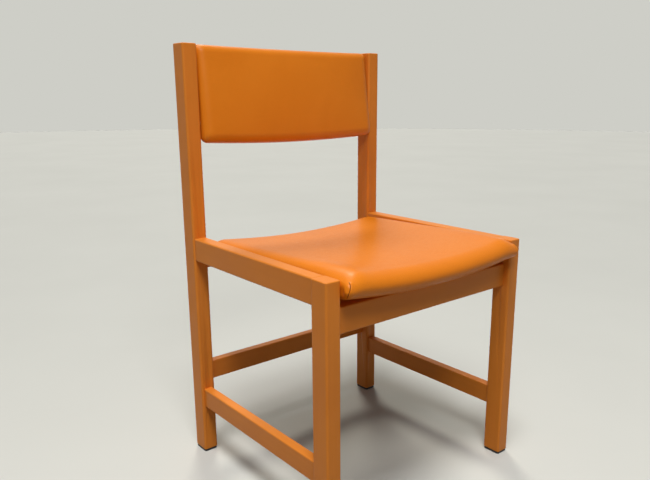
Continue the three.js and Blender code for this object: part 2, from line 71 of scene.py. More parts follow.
# Sizes of the frame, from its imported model, in millimetres
LEG_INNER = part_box("front_leg_left")[0].x / MM
LEG_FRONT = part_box("front_leg_left")[0].y / MM
POST_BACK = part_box("rear_post_left")[1].y / MM
POST_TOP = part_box("rear_post_left")[1].z / MM
APRON_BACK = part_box("front_apron")[1].y / MM
APRON_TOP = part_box("front_apron")[1].z / MM

# Places of the two pads, in millimetres and radians
SEAT_TILT = math.radians(1.86)
SEAT_LIFT = 0.3
SEAT_OVERHANG = 21.7
SEAT_SIDE_GAP = 1.5
BACK_LEAN = math.radians(7.3)
BACK_HEIGHT = 180.5
BACK_REAR_INSET = 3.5
BACK_TOP_DROP = 2.0
BACK_SIDE_GAP = 1.0
SEAT_PLACE = (
    Matrix.Translation((0, APRON_BACK * MM, APRON_TOP * MM + SEAT_LIFT * MM))
    @ Matrix.Rotation(-SEAT_TILT, 4, "X")
)
BACK_PLACE = Matrix.Translation((
    0,
    (POST_BACK - BACK_REAR_INSET - BACK_HEIGHT * math.sin(BACK_LEAN)) * MM,
    (POST_TOP - BACK_TOP_DROP - BACK_HEIGHT * math.cos(BACK_LEAN)) * MM,
)) @ Matrix.Rotation(math.pi / 2 - BACK_LEAN, 4, "X")

# Forms of the two pads, in millimetres. x runs across a pad, y from its start to its end and z from its base
# to its face. A bow curves an edge, a reach is the depth of a rounded edge, and dish is how far the sides
# rise above the middle.
SEAT = dict(
    half=LEG_INNER - SEAT_SIDE_GAP,
    start=LEG_FRONT - SEAT_OVERHANG - APRON_BACK,
    end=357.5,
    thickness=44.5,
    dish=13.0,
    crown=2.5,
    start_bow=4.0,
    end_bow=1.0,
    start_reach=29.0,
    end_reach=13.0,
    face_edge=22.0,
    face_depth=14.0,
    base_edge=4.0,
    start_corner=7.0,
    end_corner=22.0,
    corner_fall=2.5,
    puff=2.0,
    side_draw=1.0,
    drop=5.0,
    drop_length=110.0,
)
BACK = dict(
    half=LEG_INNER - BACK_SIDE_GAP,
    start=0.0,
    end=BACK_HEIGHT,
    thickness=31.0,
    dish=0.0,
    crown=4.5,
    start_bow=6.0,
    end_bow=1.5,
    start_reach=18.0,
    end_reach=14.0,
    face_edge=19.0,
    face_depth=14.0,
    base_edge=4.0,
    start_corner=10.0,
    end_corner=4.0,
    corner_fall=0.0,
    puff=0.0,
    side_draw=0.6,
    drop=0.0,
    drop_length=100.0,
)

# The plump stretch behind the seat's nose, and how its front corners fall away
PUFF_PLACE = 45
PUFF_REACH = 75
PUFF_WIDENING = 9
SHOULDER_SHARE = 1.5
SHOULDER_PLACE = 28
SHOULDER_REACH = 24
CORNER_FALL_WIDTH = 22
CORNER_FALL_LENGTH = 60

# In front of the legs nothing holds the pad's ends, so they bulge past the legs' inner faces
NOSE_BULGE = 3.5
NOSE_BULGE_POWER = 6
NOSE_BULGE_GROWTH = 12.0
NOSE_LEG_CLEARANCE = 1.0

# How a pad is swollen and brought to its form
SEAT_VOXEL = 4.8
BACK_VOXEL = 4.2
SEAT_HELD_HEIGHT = 5
BACK_HELD_HEIGHT = 6
BLANK_INSET = 1.8
BLANK_CROWN = 0.5
SWELL_LIMIT = 4.5
FORM_SHARE = 0.8
FORM_DETAIL = dict(turns=20, run=70, across=90)

# The lip of the nose's fold, and a dark tube along its crease that is painted shade
FOLD_POINTS = 41
FOLD_STEPS = 15
FOLD_PITCH = 0.6
FOLD_CALMING = 10
LIP_PLACES = (0, 0.6, 1.2, 2.4, 4.5, 9.0)
LIP_HEIGHTS = (0.9, 1.45, 1.5, 1.2, 0.55, -0.2)
LIP_FULL_FROM = 8
LIP_FULL_TO = 34
LIP_SINK = 0.12
LIP_ROOT = 0.7
SHADE_LINE_SETBACK = 0.3
SHADE_LINE_LIFT = 0.05
SHADE_LINE_RADIUS = 0.66

# The lining under the seat and its staples
LINING_SHEET = dict(half=158.5, low=3.0, high=306.5, corner=21.0)
LINING_CELLS = (84, 84)
LINING_GAP = 0.35
LINING_THICKNESS = 0.45
LINING_SAG = 0.8
LINING_SAG_GROWTH = (20, 110)
LINING_FREE_FROM_EDGE = (2, 12)
HEM_WIDTH = 9.0
HEM_STEP = 0.6
HEM_THICKNESS = 0.4
STAPLE_INSET = 4.5
STAPLE_PITCH = 38.0
STAPLE_PUCKER = 0.5
STAPLE_PUCKER_GROWTH = (0, 8)
STAPLE_PUCKER_REACH = 11.0
STAPLE_TURN = 0.22
STAPLE_HALF = 5.0
STAPLE_BEND = 0.5
STAPLE_LEG = 1.6
STAPLE_KNEE_SHARE = 0.35
STAPLE_DEPTH = 1.45
STAPLE_RADIUS = 0.45

# The leather panel behind the back and its stitches
PANEL_SHEET = dict(half=189.0, low=21.0, high=BACK_HEIGHT - 21.0, corner=21.0)
PANEL_CELLS = (110, 60)
PANEL_GAP = 0.3
PANEL_THICKNESS = 1.5
PANEL_EDGE = 0.5
PANEL_EDGE_REACH = 1.2
PANEL_SWELL = 0.9
PANEL_SWELL_REACH = 26
SEAM_INSET = 6.0
SEAM_DEPTH = 0.45
SEAM_REACH = 1.3
STITCH_PITCH = 4.6
STITCH_RADIUS = 0.36
STITCH_PATH = ((-1.7, -1.45), (-1.1, -1.95), (0.0, -2.03), (1.1, -1.95), (1.7, -1.45))

# Edges that bend by more than these angles stay sharp, in degrees
FRAME_SHARP = 44
PIECE_SHARP = 50

# Details of the mesh work
WELD_DISTANCE = 0.00001
CORNER_STEPS = 12
TAPER_START = 0.4  # of one ring's step, so that a tapered wire isn't closed before its first ring

# Sockets of Blender's nodes that are picked by number
MIX_COLOUR_A = 6
MIX_COLOUR_B = 7
MIX_COLOUR_RESULT = 2
WAVE_FACTOR = 1


# Materials
def srgb(r, g, b):
    """A colour as it is written on screen, made linear."""
    def linear(value):
        value /= 255
        return value / 12.92 if value <= 0.04045 else ((value + 0.055) / 1.055) ** 2.4
    return (linear(r), linear(g), linear(b), 1.0)


def colour_output(node):
    return MIX_COLOUR_RESULT if node.bl_idname == "ShaderNodeMix" else 0


class Shader:
    """A node material under construction."""

    def __init__(self, name):
        self.material = bpy.data.materials.new(name)
        self.material.use_nodes = True
        self.nodes = self.material.node_tree.nodes
        self.links = self.material.node_tree.links
        self.nodes.clear()
        self.surface = self.add("ShaderNodeBsdfPrincipled")
        out = self.add("ShaderNodeOutputMaterial")
        self.link(self.surface, 0, out, 0)
        self.coords = self.add("ShaderNodeTexCoord")
        self.plain = self.mapped((1, 1, 1))

    def add(self, kind, **values):
        node = self.nodes.new(kind)
        for key, value in values.items():
            setattr(node, key, value)
        return node

    def link(self, source, output, target, socket):
        self.links.new(source.outputs[output], target.inputs[socket])

    def mapped(self, scale):
        """The object's own coordinates, scaled along each axis."""
        mapping = self.add("ShaderNodeMapping")
        self.link(self.coords, "Object", mapping, "Vector")
        mapping.inputs["Scale"].default_value = scale
        return mapping

    def noise(self, vector, scale, detail=3.0, rough=0.5, distortion=0.0):
        node = self.add("ShaderNodeTexNoise")
        node.inputs["Scale"].default_value = scale
        node.inputs["Detail"].default_value = detail
        node.inputs["Roughness"].default_value = rough
        node.inputs["Distortion"].default_value = distortion
        self.link(vector, 0, node, "Vector")
        return node

    def cells(self, vector, scale, feature="F1"):
        node = self.add("ShaderNodeTexVoronoi", feature=feature)
        node.inputs["Scale"].default_value = scale
        self.link(vector, 0, node, "Vector")
        return node

    def bands(self, vector, direction, scale, **inputs):
        node = self.add("ShaderNodeTexWave", wave_type="BANDS", bands_direction=direction)
        node.inputs["Scale"].default_value = scale
        for key, value in inputs.items():
            node.inputs[key].default_value = value
        self.link(vector, 0, node, "Vector")
        return node

    def ramp(self, source, stops):
        """Colours at places from 0 to 1 of the source."""
        node = self.add("ShaderNodeValToRGB")
        while len(node.color_ramp.elements) < len(stops):
            node.color_ramp.elements.new(0.5)
        for element, (place, colour) in zip(node.color_ramp.elements, stops):
            element.position = place
            element.color = colour
        self.link(source, 0, node, 0)
        return node

    def spread(self, source, of, to, output=0):
        """One range of the source's values, spread evenly over another range."""
        node = self.add("ShaderNodeMapRange")
        for key, value in zip(("From Min", "From Max", "To Min", "To Max"), (*of, *to)):
            node.inputs[key].default_value = value
        self.link(source, output, node, "Value")
        return node

    def mix(self, factor, a, b):
        """Colour a where the factor is 0, and b where it is 1. Each is a colour or a node."""
        node = self.add("ShaderNodeMix", data_type="RGBA")
        self.links.new(factor, node.inputs[0])
        for socket, value in ((MIX_COLOUR_A, a), (MIX_COLOUR_B, b)):
            if isinstance(value, tuple):
                node.inputs[socket].default_value = value
            else:
                self.link(value, colour_output(value), node, socket)
        return node

    def product(self, a, b, output=0):
        node = self.add("ShaderNodeMath", operation="MULTIPLY")
        self.link(a, output, node, 0)
        self.link(b, output, node, 1)
        return node

    def bump(self, source, strength, distance, under=None):
        node = self.add("ShaderNodeBump")
        node.inputs["Strength"].default_value = strength
        node.inputs["Distance"].default_value = distance
        self.link(source, 0, node, "Height")
        if under is not None:
            self.link(under, 0, node, "Normal")
        return node

    def colour(self, source):
        self.link(source, colour_output(source), self.surface, "Base Color")

    def roughness(self, source, of, to):
        self.link(self.spread(source, of, to), 0, self.surface, "Roughness")

    def normal(self, node):
        self.link(node, 0, self.surface, "Normal")

    def constant(self, **values):
        for key, value in values.items():
            self.surface.inputs[key.replace("_", " ")].default_value = value


def stretched(axis, along, across):
    """A scale for a pattern that runs along one axis."""
    return tuple(along if i == axis else across for i in range(3))


def painted_wood(axis):
    """Opaque satin paint with grain just showing through; edges paler from wear and a painted highlight."""
    s = Shader("painted_wood_" + "xyz"[axis])
    long = s.mapped(stretched(axis, along=6.0, across=120.0))
    longer = s.mapped(stretched(axis, along=25.0, across=900.0))
    grain = s.noise(long, scale=1.0, detail=4.0, rough=0.55, distortion=0.4)
    pores = s.noise(longer, scale=1.0, detail=2.0, rough=0.6)
    clouds = s.noise(s.plain, scale=9.0)
    peel = s.noise(s.plain, scale=420.0, detail=2.0)
    blotches = s.noise(s.plain, scale=60.0, detail=4.0, rough=0.6)
    paint = s.ramp(clouds, [(0.3, srgb(216, 126, 40)), (0.7, srgb(223, 133, 46))])
    shown_grain = s.spread(grain, of=(0.35, 0.75), to=(0.0, 0.18))
    lined = s.mix(shown_grain.outputs[0], paint, srgb(202, 112, 34))
    bevel = s.add("ShaderNodeBevel", samples=6)
    bevel.inputs["Radius"].default_value = 0.0022
    geometry = s.add("ShaderNodeNewGeometry")
    alike = s.add("ShaderNodeVectorMath", operation="DOT_PRODUCT")
    s.link(bevel, 0, alike, 0)
    s.link(geometry, "Normal", alike, 1)
    edge = s.spread(alike, of=(0.995, 0.9), to=(0.0, 1.0), output="Value")
    # Paler blotches on eased edges: partly rubbed paint, partly a painted highlight
    rub_and_highlight = s.spread(blotches, of=(0.42, 0.62), to=(0.0, 0.55))
    s.colour(s.mix(s.product(edge, rub_and_highlight).outputs[0], lined, srgb(234, 153, 74)))
    s.roughness(clouds, of=(0.3, 0.7), to=(0.38, 0.46))
    low = s.bump(grain, strength=0.25, distance=0.0006)
    fine = s.bump(pores, strength=0.10, distance=0.0002, under=low)
    s.normal(s.bump(peel, strength=0.06, distance=0.0003, under=fine))
    s.constant(Specular_IOR_Level=0.22)
    return s.material


def leather():
    """Smooth tanned hide: fine pebbled grain, pores, soft creasing and a slightly cloudy colour."""
    s = Shader("leather")
    clouds = s.noise(s.plain, scale=7.0, detail=4.0, rough=0.55, distortion=0.6)
    tones = [(0.30, srgb(219, 122, 20)), (0.52, srgb(223, 126, 23)), (0.72, srgb(227, 130, 27))]
    hide = s.ramp(clouds, tones)
    pebble = s.cells(s.plain, scale=900.0)
    pebble_edge = s.cells(s.plain, scale=900.0, feature="DISTANCE_TO_EDGE")
    specks = s.noise(s.plain, scale=1300.0, detail=2.0, rough=0.6)
    pores = s.spread(specks, of=(0.56, 0.68), to=(0.0, 1.0))
    creasing = s.noise(s.mapped((1, 1.6, 1.3)), scale=95.0, detail=5.0, rough=0.62, distortion=1.3)
    veins = s.spread(pebble_edge, of=(0.0, 0.12), to=(0.30, 0.0))
    toned = s.mix(veins.outputs[0], hide, srgb(186, 94, 14))
    shown_pores = s.spread(pores, of=(0.0, 1.0), to=(0.0, 0.22))
    s.colour(s.mix(shown_pores.outputs[0], toned, srgb(150, 70, 18)))
    s.roughness(creasing, of=(0.3, 0.7), to=(0.32, 0.42))
    low = s.bump(creasing, strength=0.16, distance=0.0006)
    mid = s.bump(pebble, strength=0.16, distance=0.00025, under=low)
    s.normal(s.bump(pores, strength=-0.10, distance=0.0002, under=mid))
    s.constant(Specular_IOR_Level=0.2)
    return s.material


def raw_wood(name, axis, light, dark, plies=0.0):
    """Unpainted wood with growth lines along one axis, and glue lines where it is plywood."""
    s = Shader(name)
    long = s.mapped(stretched(axis, along=0.12, across=1.0))
    longer = s.mapped(stretched(axis, along=18.0, across=700.0))
    lines = s.bands(long, "XYZ"[(axis + 1) % 3], scale=55.0, Distortion=5.0, Detail=3.0)
    fibre = s.noise(longer, scale=1.0, rough=0.6)
    grown = s.ramp(lines, [(0.15, dark), (0.75, light)])
    shown_fibre = s.spread(fibre, of=(0.4, 0.8), to=(0.0, 0.35))
    shade = s.mix(shown_fibre.outputs[0], grown, dark)
    if plies:
        glue = s.spread(s.bands(s.plain, "Z", scale=plies), of=(0.75, 0.95), to=(0.0, 0.4))
        shade = s.mix(glue.outputs[0], shade, srgb(122, 84, 48))
    s.colour(shade)
    s.constant(Roughness=0.78)
    s.normal(s.bump(fibre, strength=0.35, distance=0.0004))
    return s.material


def foam():
    """Open-cell foam."""
    s = Shader("foam")
    cells = s.cells(s.plain, scale=700.0)
    tint = s.noise(s.plain, scale=12.0)
    filling = s.ramp(tint, [(0.3, srgb(226, 211, 160)), (0.7, srgb(236, 224, 184))])
    hollows = s.spread(cells, of=(0.0, 0.4), to=(0.35, 0.0))
    s.colour(s.mix(hollows.outputs[0], filling, srgb(176, 154, 104)))
    s.constant(Roughness=0.95)
    s.normal(s.bump(cells, strength=0.6, distance=0.0006))
    return s.material


def woven(name, light, dark, pitch):
    """A plain weave from two crossed sets of bands, with its pitch in metres."""
    s = Shader(name)
    warp, weft = (s.bands(s.plain, direction, scale=1 / pitch, Distortion=0.4) for direction in "XY")
    weave = s.product(warp, weft, WAVE_FACTOR)
    fuzz = s.noise(s.plain, scale=260.0, detail=4.0, rough=0.6)
    shown_fuzz = s.spread(fuzz, of=(0.4, 0.8), to=(0.0, 0.4))
    cloth = s.ramp(weave, [(0.1, dark), (0.7, light)])
    s.colour(s.mix(shown_fuzz.outputs[0], cloth, dark))
    s.constant(Roughness=0.92, Sheen_Weight=0.1)
    s.normal(s.bump(weave, strength=0.5, distance=0.0004))
    return s.material


def crease():
    """Dark brown leather for the depth of a fold: painted shade."""
    s = Shader("leather_crease_shade")
    grain = s.noise(s.plain, scale=600.0, rough=0.6)
    s.colour(s.ramp(grain, [(0.3, srgb(58, 22, 5)), (0.7, srgb(84, 36, 10))]))
    s.constant(Roughness=0.8, Specular_IOR_Level=0.1)
    s.normal(s.bump(grain, strength=0.3, distance=0.0003))
    return s.material


def thread():
    """Waxed sewing thread with its twist."""
    s = Shader("thread")
    twist = s.bands(s.plain, "DIAGONAL", scale=900.0)
    s.colour(s.ramp(twist, [(0.2, srgb(148, 78, 26)), (0.8, srgb(196, 116, 48))]))
    s.constant(Roughness=0.6)
    s.normal(s.bump(twist, strength=0.4, distance=0.0002))
    return s.material


def steel():
    """Bright steel with fine marks."""
    s = Shader("steel")
    marks = s.noise(s.plain, scale=500.0, detail=4.0, rough=0.7, distortion=1.0)
    s.colour(s.ramp(marks, [(0.3, srgb(150, 150, 148)), (0.7, srgb(196, 196, 192))]))
    s.roughness(marks, of=(0.3, 0.7), to=(0.28, 0.43))
    s.constant(Metallic=1.0)
    s.normal(s.bump(marks, strength=0.1, distance=0.0001))
    return s.material


def plastic():
    """Moulded black plastic with grey scuffs."""
    s = Shader("glide_plastic")
    scuff = s.noise(s.mapped((1, 1, 4)), scale=160.0, detail=5.0, rough=0.7)
    grain = s.cells(s.plain, scale=1500.0)
    s.colour(s.ramp(scuff, [(0.45, srgb(22, 21, 21)), (0.75, srgb(62, 59, 56))]))
    s.roughness(scuff, of=(0.3, 0.7), to=(0.42, 0.66))
    s.normal(s.bump(grain, strength=0.2, distance=0.0002))
    return s.material


PAINT = [painted_wood(axis) for axis in range(3)]
LEATHER = leather()
PLYWOOD = raw_wood("plywood", 1, light=srgb(214, 178, 126), dark=srgb(176, 132, 80), plies=120.0)
BARE_WOOD = raw_wood("bare_wood", 0, light=srgb(222, 190, 142), dark=srgb(186, 146, 96))
FOAM = foam()
LINING = woven("lining_cloth", light=srgb(44, 43, 42), dark=srgb(18, 17, 17), pitch=0.0011)
# Dark brown for the painted shade in the nose fold's crease
CREASE_SHADE = crease()
THREAD = thread()
STEEL = steel()
PLASTIC = plastic()


# Mesh helpers
def new_object(name, mesh, material, ride=True):
    obj = bpy.data.objects.new(name, mesh)
    bpy.context.scene.collection.objects.link(obj)
    mesh.materials.clear()
    mesh.materials.append(material)
    if ride:
        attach(obj, "root")
    return obj


def smooth(mesh, angle=None):
    """Smooth shading, with edges that bend by more than the angle left sharp."""
    mesh.polygons.foreach_set("use_smooth", [True] * len(mesh.polygons))
    if angle is not None:
        mesh.set_sharp_from_angle(angle=math.radians(angle))
    mesh.update()


def apply_modifiers(obj):
    graph = bpy.context.evaluated_depsgraph_get()
    graph.update()
    mesh = bpy.data.meshes.new_from_object(obj.evaluated_get(graph), preserve_all_data_layers=False)
    old = obj.data
    obj.modifiers.clear()
    obj.data = mesh
    bpy.data.meshes.remove(old)


def mesh_from(work, name):
    """A mesh from a finished bmesh, which is freed."""
    mesh = bpy.data.meshes.new(name)
    work.to_mesh(mesh)
    work.free()
    return mesh


def surface_tree(mesh):
    work = bmesh.new()
    work.from_mesh(mesh)
    tree = BVHTree.FromBMesh(work)
    work.free()
    return tree


def finish_piece(name, work, material, place=Matrix.Identity(4)):
    bmesh.ops.recalc_face_normals(work, faces=work.faces)
    mesh = mesh_from(work, name)
    smooth(mesh, PIECE_SHARP)
    mesh.transform(place)
    return new_object(name, mesh, material)


def join_rims(work, top, bottom):
    """Faces between the edges of two grids of points."""
    last_row = len(top) - 1
    last_column = len(top[0]) - 1
    ring = [(i, 0) for i in range(last_row)]
    ring += [(last_row, j) for j in range(last_column)]
    ring += [(i, last_column) for i in range(last_row, 0, -1)]
    ring += [(0, j) for j in range(last_column, 0, -1)]
    for (i, j), (k, m) in zip(ring, ring[1:] + ring[:1]):
        work.faces.new((top[i][j], bottom[i][j], bottom[k][m], top[k][m]))


def tube(work, points, radius, sides=8, tapered=False):
    """A round wire through points, with closed ends, thinning towards them where it is tapered."""
    rings = []
    leaning = Vector((0.31, 0.17, 0.93))  # not along any wire here
    angles = [2 * math.pi * m / sides for m in range(sides)]
    for k, point in enumerate(points):
        ahead = (points[min(k + 1, len(points) - 1)] - points[max(k - 1, 0)]).normalized()
        across = ahead.cross(leaning).normalized()
        up = across.cross(ahead)
        passed = (k + TAPER_START) / (len(points) - 1 + 2 * TAPER_START)
        thin = math.sin(math.pi * passed) ** 0.5 if tapered else 1.0
        rings.append([
            work.verts.new(point + radius * thin * (math.cos(a) * across + math.sin(a) * up)) for a in angles
        ])
    for a, b in zip(rings, rings[1:]):
        for m in range(sides):
            work.faces.new((a[m], a[(m + 1) % sides], b[(m + 1) % sides], b[m]))
    work.faces.new(rings[0][::-1])
    work.faces.new(rings[-1])


def step(low, high, value):
    """0 below low, 1 above high, and smooth between them."""
    t = min(1.0, max(0.0, (value - low) / (high - low)))
    return t * t * (3 - 2 * t)


def hill(distance, reach):
    """1 at no distance, fading smoothly over the reach."""
    return math.exp(-(distance / reach) ** 2)


# Painted frame
def axis_of(node):
    """The axis that a node is longest along."""
    low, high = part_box(node)
    size = high - low
    return max(range(3), key=lambda i: size[i])


def paint_frame():
    """Every painted member, with its eased edges smooth and its broad faces flat."""
    pairs = ("front_leg", "rear_post", "side_rail", "side_stretcher", "seat_bearer")
    names = [f"{kind}_{side}" for kind in pairs for side in ("left", "right")]
    for name in names + ["front_apron", "rear_rail", "rear_stretcher"]:
        mesh = NODES[name].data.copy()
        work = bmesh.new()
        work.from_mesh(mesh)
        bmesh.ops.remove_doubles(work, verts=work.verts, dist=WELD_DISTANCE)
        work.to_mesh(mesh)
        work.free()
        if mesh.has_custom_normals:
            mesh.normals_split_custom_set([(0, 0, 0)] * len(mesh.loops))
        smooth(mesh, FRAME_SHARP)
        piece = new_object(name + "_painted", mesh, PAINT[axis_of(name)])
        weigh = piece.modifiers.new("weigh", "WEIGHTED_NORMAL")
        weigh.keep_sharp = True
        weigh.weight = 90
        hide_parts(name)


# Upholstery
def round_off(radius, distance):
    """How far a rounded edge of this radius falls at a distance in from it."""
    if distance >= radius:
        return 0.0
    return radius - math.sqrt(max(0.0, radius ** 2 - (radius - distance) ** 2))


def pad_point(pad, inset, share, station, side):
    """One point of a pad in its own frame, in millimetres, on its face for side 1 and its base for side -1.

    share runs across the pad from -1 to 1. A station gives the shares of the start's rounding, of the run
    between and of the end's rounding that the point has passed, and how far the pad is open there.
    """
    front, run, rear, opened = station
    start = pad["start"] - pad["start_bow"] * (1 - share ** 2) + inset
    end = pad["end"] - pad["end_bow"] * (1 - share ** 2) - inset
    start_reach = pad["start_reach"] - inset
    end_reach = pad["end_reach"] - inset
    y = start + start_reach * front + (end - start - start_reach - end_reach) * run + end_reach * rear
    middle = math.sin(math.pi * (y - start) / (end - start))
    corner = round_off(pad["start_corner"], y - start) + round_off(pad["end_corner"], end - y)
    half = pad["half"] - inset
    x = share * (half - corner - pad["side_draw"] * middle)
    trough = pad["dish"] * (x / pad["half"]) ** 2
    edge = half * (1 - abs(share))
    fall = max(0.0, 1 - (y - pad["start"]) / pad["drop_length"]) ** 2 * pad["drop"]
    low = trough + inset + round_off(pad["base_edge"], edge)
    puff = pad["puff"] * hill(y - start - PUFF_PLACE, PUFF_REACH)
    wide = pad["face_edge"] + PUFF_WIDENING * puff
    rolled = round_off(wide, edge) * (pad["face_depth"] + puff) / wide
    near_corner = math.exp(-(edge / CORNER_FALL_WIDTH) ** 2 - ((y - start) / CORNER_FALL_LENGTH) ** 2)
    shoulder = SHOULDER_SHARE * puff * hill(edge - SHOULDER_PLACE, SHOULDER_REACH)
    rounding = pad["corner_fall"] * near_corner
    rise = pad["crown"] * middle * (1 - share ** 2) - fall - rolled - rounding + shoulder
    high = trough + pad["thickness"] + rise - inset
    return Vector((x, y, (low + high) / 2 + side * opened * (high - low) / 2))


def pad_mesh(name, pad, inset, warp=None, turns=10, run=44, across=56):
    """A closed pad of loops side by side, each round the start, along the face, round the end and back."""
    angles = [i / turns * math.pi / 2 for i in range(turns + 1)]
    stations = [(1 - math.cos(turn), 0, 0, math.sin(turn)) for turn in angles]
    stations += [(1, i / run, 0, 1) for i in range(1, run + 1)]
    stations += [(1, 1, math.sin(turn), math.cos(turn)) for turn in angles[1:]]
    edge = [1 - pad["face_edge"] * (1 - math.cos(turn)) / pad["half"] for turn in angles]
    flat = edge[-1]
    shares = [-s for s in edge] + [flat * (2 * i / across - 1) for i in range(1, across)] + edge[::-1]
    loops = []
    for share in shares:
        face = [pad_point(pad, inset, share, station, 1) for station in stations]
        base = [pad_point(pad, inset, share, station, -1) for station in stations[-2:0:-1]]
        loops.append([warp(point, share) if warp else point for point in face + base])
    work = bmesh.new()
    rows = [[work.verts.new(point * MM) for point in loop] for loop in loops]
    count = len(loops[0])
    for a, b in zip(rows, rows[1:]):
        for j in range(count):
            work.faces.new((a[j], b[j], b[(j + 1) % count], a[(j + 1) % count]))
    for row, flip in ((rows[0], False), (rows[-1], True)):
        for j in range(count // 2):
            corners = (row[j], row[j + 1], row[count - j - 1], row[(count - j) % count])
            ring = list(dict.fromkeys(corners))
            work.faces.new(ring if flip else ring[::-1])
    bmesh.ops.recalc_face_normals(work, faces=work.faces)
    return mesh_from(work, name)


def remeshed(obj, voxel):
    remesh = obj.modifiers.new("remesh", "REMESH")
    remesh.mode = "VOXEL"
    remesh.voxel_size = voxel
    apply_modifiers(obj)


def calmed(mesh, moves, rounds):
    """Spreads each point's move over its neighbours: taut leather keeps its swell and loses its ripples."""
    calm = np.array([tuple(move) for move in moves])
    pairs = np.zeros(len(mesh.edges) * 2, np.int32)
    mesh.edges.foreach_get("vertices", pairs)
    a, b = pairs[::2], pairs[1::2]
    neighbours = np.bincount(pairs, minlength=len(calm)).astype(float)[:, None]
    own_share, shared = 0.4, 0.6
    for _ in range(rounds):
        total = np.zeros_like(calm)
        np.add.at(total, a, calm[b])
        np.add.at(total, b, calm[a])
        calm = own_share * calm + shared * total / neighbours
    return [Vector(move) for move in calm]


def inflate(obj, pinned, limit, calm=60, pressure=4.0, frames=20):
    """Cloth under pressure, with its base held. No point moves further than the limit."""
    start = [v.co.copy() for v in obj.data.vertices]
    group = obj.vertex_groups.new(name="held")
    group.add([v.index for v in obj.data.vertices if pinned(v.co)], 1.0, "REPLACE")
    cloth = obj.modifiers.new("cloth", "CLOTH")
    settings = cloth.settings
    settings.quality = 5
    settings.mass = 0.3
    settings.tension_stiffness = 25.0
    settings.compression_stiffness = 25.0
    settings.shear_stiffness = 12.0
    settings.bending_stiffness = 3.0
    settings.use_pressure = True
    settings.uniform_pressure_force = pressure
    settings.effector_weights.gravity = 0.0
    settings.vertex_group_mass = "held"
    cloth.collision_settings.use_collision = False
    cloth.collision_settings.use_self_collision = False
    cloth.point_cache.frame_start = 1
    cloth.point_cache.frame_end = frames
    scene = bpy.context.scene
    for number in range(1, frames + 1):
        scene.frame_set(number)
    apply_modifiers(obj)
    obj.vertex_groups.clear()
    moves = []
    for v, old in zip(obj.data.vertices, start):
        move = v.co - old
        moves.append(move * (limit / move.length) if move.length > limit else move)
    for v, old, move in zip(obj.data.vertices, start, calmed(obj.data, moves, calm)):
        v.co = old + move
    scene.frame_set(1)


def subdivided(obj, levels=1):
    modifier = obj.modifiers.new("subdivide", "SUBSURF")
    modifier.levels = levels
    modifier.render_levels = levels
    apply_modifiers(obj)


def settled(obj, target, share):
    """Draws the simulated skin towards the measured form of the pad, and removes the form."""
    tree = surface_tree(target)
    for v in obj.data.vertices:
        v.co = v.co.lerp(tree.find_nearest(v.co)[0], share)
    bpy.data.meshes.remove(target)


def swollen_nose(point, share):
    """A point of the seat pad, moved outwards where it lies ahead of the legs."""
    ahead = LEG_FRONT - NOSE_LEG_CLEARANCE - APRON_BACK - point.y
    bulge = NOSE_BULGE * step(0.0, NOSE_BULGE_GROWTH, ahead) * abs(share) ** NOSE_BULGE_POWER
    point.x += math.copysign(bulge, share)
    return point


def upholstered(name, pad, voxel, pinned, warp, place, nodes):
    """A cushion that starts a little smaller, swells as cloth and is drawn to the pad's measured form."""
    blank = pad_mesh(name, dict(pad, crown=BLANK_CROWN), BLANK_INSET, warp)
    obj = new_object(name, blank, LEATHER, ride=False)
    remeshed(obj, voxel * MM)
    inflate(obj, pinned, SWELL_LIMIT * MM)
    subdivided(obj)
    settled(obj, pad_mesh(name + "_form", pad, 0.0, warp, **FORM_DETAIL), FORM_SHARE)
    smooth(obj.data)
    obj.data.transform(place)
    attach(obj, "root")
    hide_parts(*nodes)
    return obj


def make_seat():
    half = SEAT["half"] * MM

    def held(co):
        return co.z < SEAT["dish"] * MM * (co.x / half) ** 2 + SEAT_HELD_HEIGHT * MM

    nodes = ("seat_cover", "seat_foam")
    cushion = upholstered("seat_cushion", SEAT, SEAT_VOXEL, held, swollen_nose, SEAT_PLACE, nodes)
    for name, side in (("right", -1), ("left", 1)):
        make_fold(name, side, cushion.data)


def make_back():
    def held(co):
        return co.z < BACK_HELD_HEIGHT * MM

    upholstered("back_cushion", BACK, BACK_VOXEL, held, None, BACK_PLACE, ("back_cover", "back_foam"))


# Folds of the seat's nose
def curve_through(points, count):
    """Evenly stepped places on a smooth curve through the points."""
    ends = [2 * points[0] - points[1], *points, 2 * points[-1] - points[-2]]
    places = []
    for k in range(count):
        t = k / (count - 1) * (len(points) - 1)
        i = min(int(t), len(points) - 2)
        t -= i
        a, b, c, d = ends[i:i + 4]
        square = 2 * a - 5 * b + 4 * c - d
        cube = 3 * b - a - 3 * c + d
        places.append(0.5 * (2 * b + (c - a) * t + square * t ** 2 + cube * t ** 3))
    return places


def on_photo(pixel_x, pixel_y):
    """The camera's place, and the direction of a pixel of the photo."""
    camera = bpy.context.scene.camera
    data = camera.data
    x = (pixel_x / PHOTO_WIDTH - 0.5 + data.shift_x) * data.sensor_width / data.lens
    y = ((PHOTO_HEIGHT / 2 - pixel_y) / PHOTO_WIDTH + data.shift_y) * data.sensor_width / data.lens
    return camera.matrix_world.translation, (camera.matrix_world.to_3x3() @ Vector((x, y, -1))).normalized()


def fold_line(tree, side):
    """Points down the fold: as the photo shows it for side -1, and mirrored for side 1."""
    line = []
    for pixel_x, pixel_y in FOLD_PIXELS:
        spot = tree.ray_cast(*on_photo(pixel_x, pixel_y))[0]
        line.append(tree.find_nearest(Vector((-side * spot.x, spot.y, spot.z)))[0])
    return curve_through(line, FOLD_POINTS)


